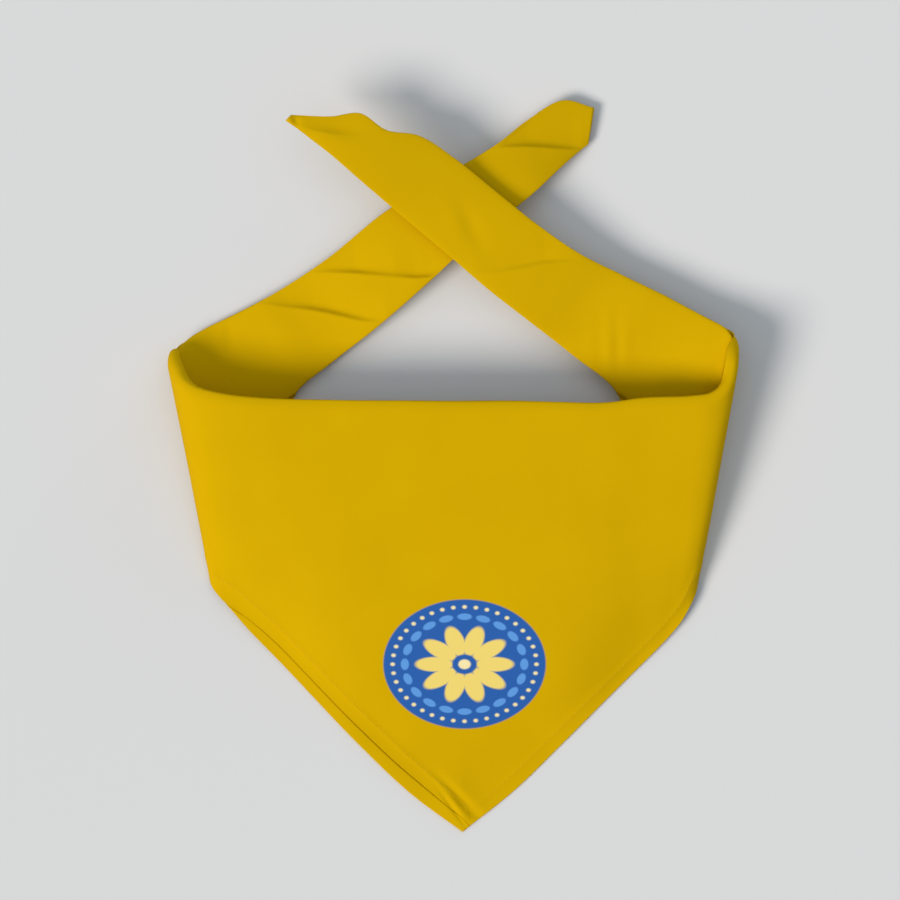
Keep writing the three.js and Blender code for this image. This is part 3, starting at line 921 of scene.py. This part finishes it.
# %% [markdown]
# ## Points of the neck band
# A superellipse is a circle whose sine is raised to a power below 1, which fills it out. As the
# angle goes round, the cosine runs from the fold at -1 to the edge at 1, and the sine from the
# outer face to the inner one. The back of the band shows its inner face, so the creases are
# pressed into that one. They fade out towards both folds, where the sine is under FOLD_SINE.

# %% Neck band
FLATNESS = 2.8
FACE_POINTS = 80
FOLD_SINE = 0.6


def rounded(value):
    """Sign of the value times its size to the power 2 / FLATNESS."""
    return np.sign(value) * np.abs(value) ** (2 / FLATNESS)


inner_turn = np.linspace(0, np.pi, FACE_POINTS + 2)[1:-1]
outer_turn = np.linspace(np.pi, 2 * np.pi, FACE_POINTS + 2)[1:-1]
turn = np.concatenate([inner_turn, outer_turn])[None, :]
band_down = (roll_start + roll_stop) / 2 - (roll_stop - roll_start) / 2 * np.cos(turn)
band_depth = (roll_outer + roll_inner) / 2 + (roll_inner - roll_outer) / 2 * rounded(np.sin(turn))
band_middle, band_normal = in_cloth(band_s, band_down, band_depth)
band_lift = band_relief(seen(band_middle), band_s) * ramp(0.0, FOLD_SINE, np.sin(turn))
band_rings = band_middle - band_normal * band_lift[..., None]
band = cloth_mesh("neck_band_cloth", band_rings[:, ::-1], band_down[:, ::-1], [plain_cotton])
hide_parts("left_band", "neck_roll", "right_band")
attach(band, "root")

# %% [markdown]
# ## Hem stitches
# A lockstitch of matching thread holds the hem of the front layer. Each stitch is a small
# capsule, 2.2 mm long and a quarter of a millimetre thick, half sunk in the cloth.
# One capsule is worked out once and then placed at every stitch by its three directions.

# %% Stitches
STITCH = 2.2
STITCH_GAP = 0.8
STITCH_RADIUS = 0.12
LINE_POINTS = 900
STITCHED = [(AT["left shoulder"], CENTRE - 0.12), (CENTRE + 0.45, AT["right shoulder"])]


def capsule():
    """Rings of six points on a line of length 1, with radii 0.35, 1, 1 and 0.35, closed by two
    six-sided ends."""
    corner = np.arange(6) * np.pi / 3
    along = np.array([-0.5, -0.38, 0.38, 0.5])
    size = np.array([0.35, 1.0, 1.0, 0.35])
    points = np.stack([np.repeat(along, 6), np.outer(size, np.cos(corner)).ravel(),
                       np.outer(size, np.sin(corner)).ravel()], axis=1)
    faces = [[i * 6 + j, i * 6 + (j + 1) % 6, (i + 1) * 6 + (j + 1) % 6, (i + 1) * 6 + j]
             for i in range(3) for j in range(6)]
    return points, faces, [list(range(6))[::-1], [18 + j for j in range(6)]]


def stitch_line(first, last):
    """Points and directions on the front layer's outer face, HEM_AT from its edge, a stitch and
    a gap apart."""
    s = np.linspace(first, last, LINE_POINTS)[:, None]
    length = section_length(s) - shown(s)
    down = length - HEM_AT / edge_lean(s)
    relief = front_relief(s, down, length)
    points = layer_point(s, down, np.zeros_like(s), OUTER_FACE, relief)[:, 0]
    _, up = in_cloth(s, down, np.zeros_like(s))
    way = way_along(points)
    middles = np.arange(STITCH, way[-1], STITCH + STITCH_GAP)

    def at_middles(values):
        return np.stack([np.interp(middles, way, values[:, axis]) for axis in range(3)], axis=1)

    return at_middles(points), unit(at_middles(np.gradient(points, axis=0))), at_middles(up[:, 0])


capsule_points, sides, ends = capsule()
lines = [stitch_line(first, last) for first, last in STITCHED]
at, ahead, up = (np.concatenate([line[part] for line in lines]) for part in range(3))
across = np.cross(up, ahead)
stitch_points = (at[:, None] + capsule_points[None, :, :1] * STITCH * ahead[:, None]
                 + capsule_points[None, :, 1:2] * STITCH_RADIUS * across[:, None]
                 + capsule_points[None, :, 2:] * STITCH_RADIUS * up[:, None])
shift = np.arange(len(at))[:, None, None] * len(capsule_points)
stitch_faces = (shift + np.array(sides)).reshape(-1, 4).tolist()
stitch_faces += (shift + np.array(ends)).reshape(-1, 6).tolist()
stitches = mesh_object("hem_stitches", stitch_points, stitch_faces)
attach(stitches, "root")
print(f"{len(at)} stitches along the hem")

# %% [markdown]
# ## Sewing thread
# The thread is mercerised cotton, a little glossier than the cloth and dyed to match. It is so
# fine that the light and shade on its twisted plies is painted into its colour: a wave of a lighter
# and a darker yellow along each stitch. The wave comes back after 2 pi over 10 times its scale,
# which is 0.7 mm, about one turn of such a thread.

# %% Thread material
TWIST_SCALE = 900.0

thread, tree = empty_material("mercerised cotton thread")
thread_place = add(tree, "TexCoord").outputs["Object"]
# Painted light and shade of the twist: diagonal bands of a lighter and a darker yellow
twist_shade_wave = add(tree, "TexWave", {"Vector": thread_place}, socket_Scale=TWIST_SCALE,
            bands_direction="DIAGONAL")
painted_twist_shade = add(tree, "Mix", {"Factor": twist_shade_wave.outputs["Color"]}, data_type="RGBA",
           socket_6=colour("#CFA500"), socket_7=colour("#D9B010"))
thread_shader = add(tree, "BsdfPrincipled", {"Base Color": painted_twist_shade.outputs[2]},
                    socket_Roughness=0.7, socket_Specular_IOR_Level=0.2)
add(tree, "OutputMaterial", {"Surface": thread_shader.outputs[0]})
stitches.data.materials.append(thread)

# %% [markdown]
# ## What the cloths were cut from
# The whole neckerchief is one square of 550 mm. Each cloth above is a share of it.

print("three cloths cut from one square")

# %% [markdown]
# ## The table
# The table is matt pale paper that runs out of the picture. Its fibres give it a faint tooth,
# which is drawn about 1.1 mm across, coarser than it is, so that it shows at all.

# %% Table
FLOOR_HALF = 1600.0
FLOOR_GREY = "#D4D4D4"
FIBRES_A_METRE = 900.0

floor_corners = FLOOR_HALF * np.array([(-1, -1, 0), (1, -1, 0), (1, 1, 0), (-1, 1, 0)])
floor = mesh_object("floor", floor_corners, [[0, 1, 2, 3]])

paper, tree = empty_material("matt pale paper")
paper_place = add(tree, "TexCoord").outputs["Object"]
fibres = add(tree, "TexNoise", {"Vector": paper_place}, socket_Scale=FIBRES_A_METRE)
paper_bump = add(tree, "Bump", {"Height": fibres.outputs[0]}, socket_Strength=0.05,
                 socket_Distance=0.1 * MM)
paper_shader = add(tree, "BsdfPrincipled", {"Normal": paper_bump.outputs[0]},
                   socket_Base_Color=colour(FLOOR_GREY), socket_Roughness=1.0,
                   socket_Specular_IOR_Level=0.0)
add(tree, "OutputMaterial", {"Surface": paper_shader.outputs[0]})
floor.data.materials.append(paper)
print(f"a table of {2 * FLOOR_HALF:.0f} mm a side")

# %% [markdown]
# ## The light
# A softbox stands at the lower left, 41 degrees up, so shadows fall to the upper right and blur
# with height. A sun lamp that is wide in the sky gives such shadows without a place or a size.
# The room lights the rest, in three parts: a little from all round, most from a broad lobe
# overhead, and some from a narrow one low on the far side. A lobe is the cosine of the angle to
# its direction, raised to a power. All three are cooler than the softbox, so the shadows stay
# grey beside so much yellow, and with it they are neutral on the open table.

# %% Lights
KEY_ELEVATION = 41.0
KEY_AZIMUTH = 215.0
KEY_SPREAD = 24.0
KEY_ENERGY = 2.64
WARM = (1.075, 1.0, 0.92)
COOL = (0.9, 1.0, 1.1)
EVEN_FILL = 0.07
LOBES = [
    # azimuth, elevation, power, strength
    (90.0, 80.0, 3, 1.0),
    (50.0, 8.0, 25, 3.0),
]

key_data = bpy.data.lights.new("key", "SUN")
key_data.energy = KEY_ENERGY
key_data.angle = np.radians(KEY_SPREAD)
key_data.color = WARM
key = bpy.data.objects.new("key", key_data)
key.rotation_euler = (np.radians(90 - KEY_ELEVATION), 0, np.radians(KEY_AZIMUTH + 90))
bpy.context.scene.collection.objects.link(key)

world = bpy.data.worlds.new("studio")
bpy.context.scene.world = world
world.use_nodes = True
room = world.node_tree
room.nodes.clear()
direction = add(room, "TexCoord").outputs["Generated"]
room_light = add(room, "Background", socket_Color=(*COOL, 1.0), socket_Strength=EVEN_FILL)
for azimuth, elevation, power, strength in LOBES:
    level, rise = np.cos(np.radians(elevation)), np.sin(np.radians(elevation))
    middle = (level * np.cos(np.radians(azimuth)), level * np.sin(np.radians(azimuth)), rise)
    cosine = add(room, "VectorMath", {0: direction}, operation="DOT_PRODUCT", socket_1=middle)
    lobe = add(room, "Math", {0: cosine.outputs["Value"]}, operation="MAXIMUM", socket_1=0.0)
    lobe = add(room, "Math", {0: lobe.outputs[0]}, operation="POWER", socket_1=power)
    lobe = add(room, "Math", {0: lobe.outputs[0]}, operation="MULTIPLY", socket_1=strength)
    part = add(room, "Background", {"Strength": lobe.outputs[0]}, socket_Color=(*COOL, 1.0))
    room_light = add(room, "AddShader", {0: room_light.outputs[0], 1: part.outputs[0]})
add(room, "OutputWorld", {"Surface": room_light.outputs[0]})
bpy.context.scene.view_settings.view_transform = "Standard"
print(f"one softbox and a room of {1 + len(LOBES)} parts")
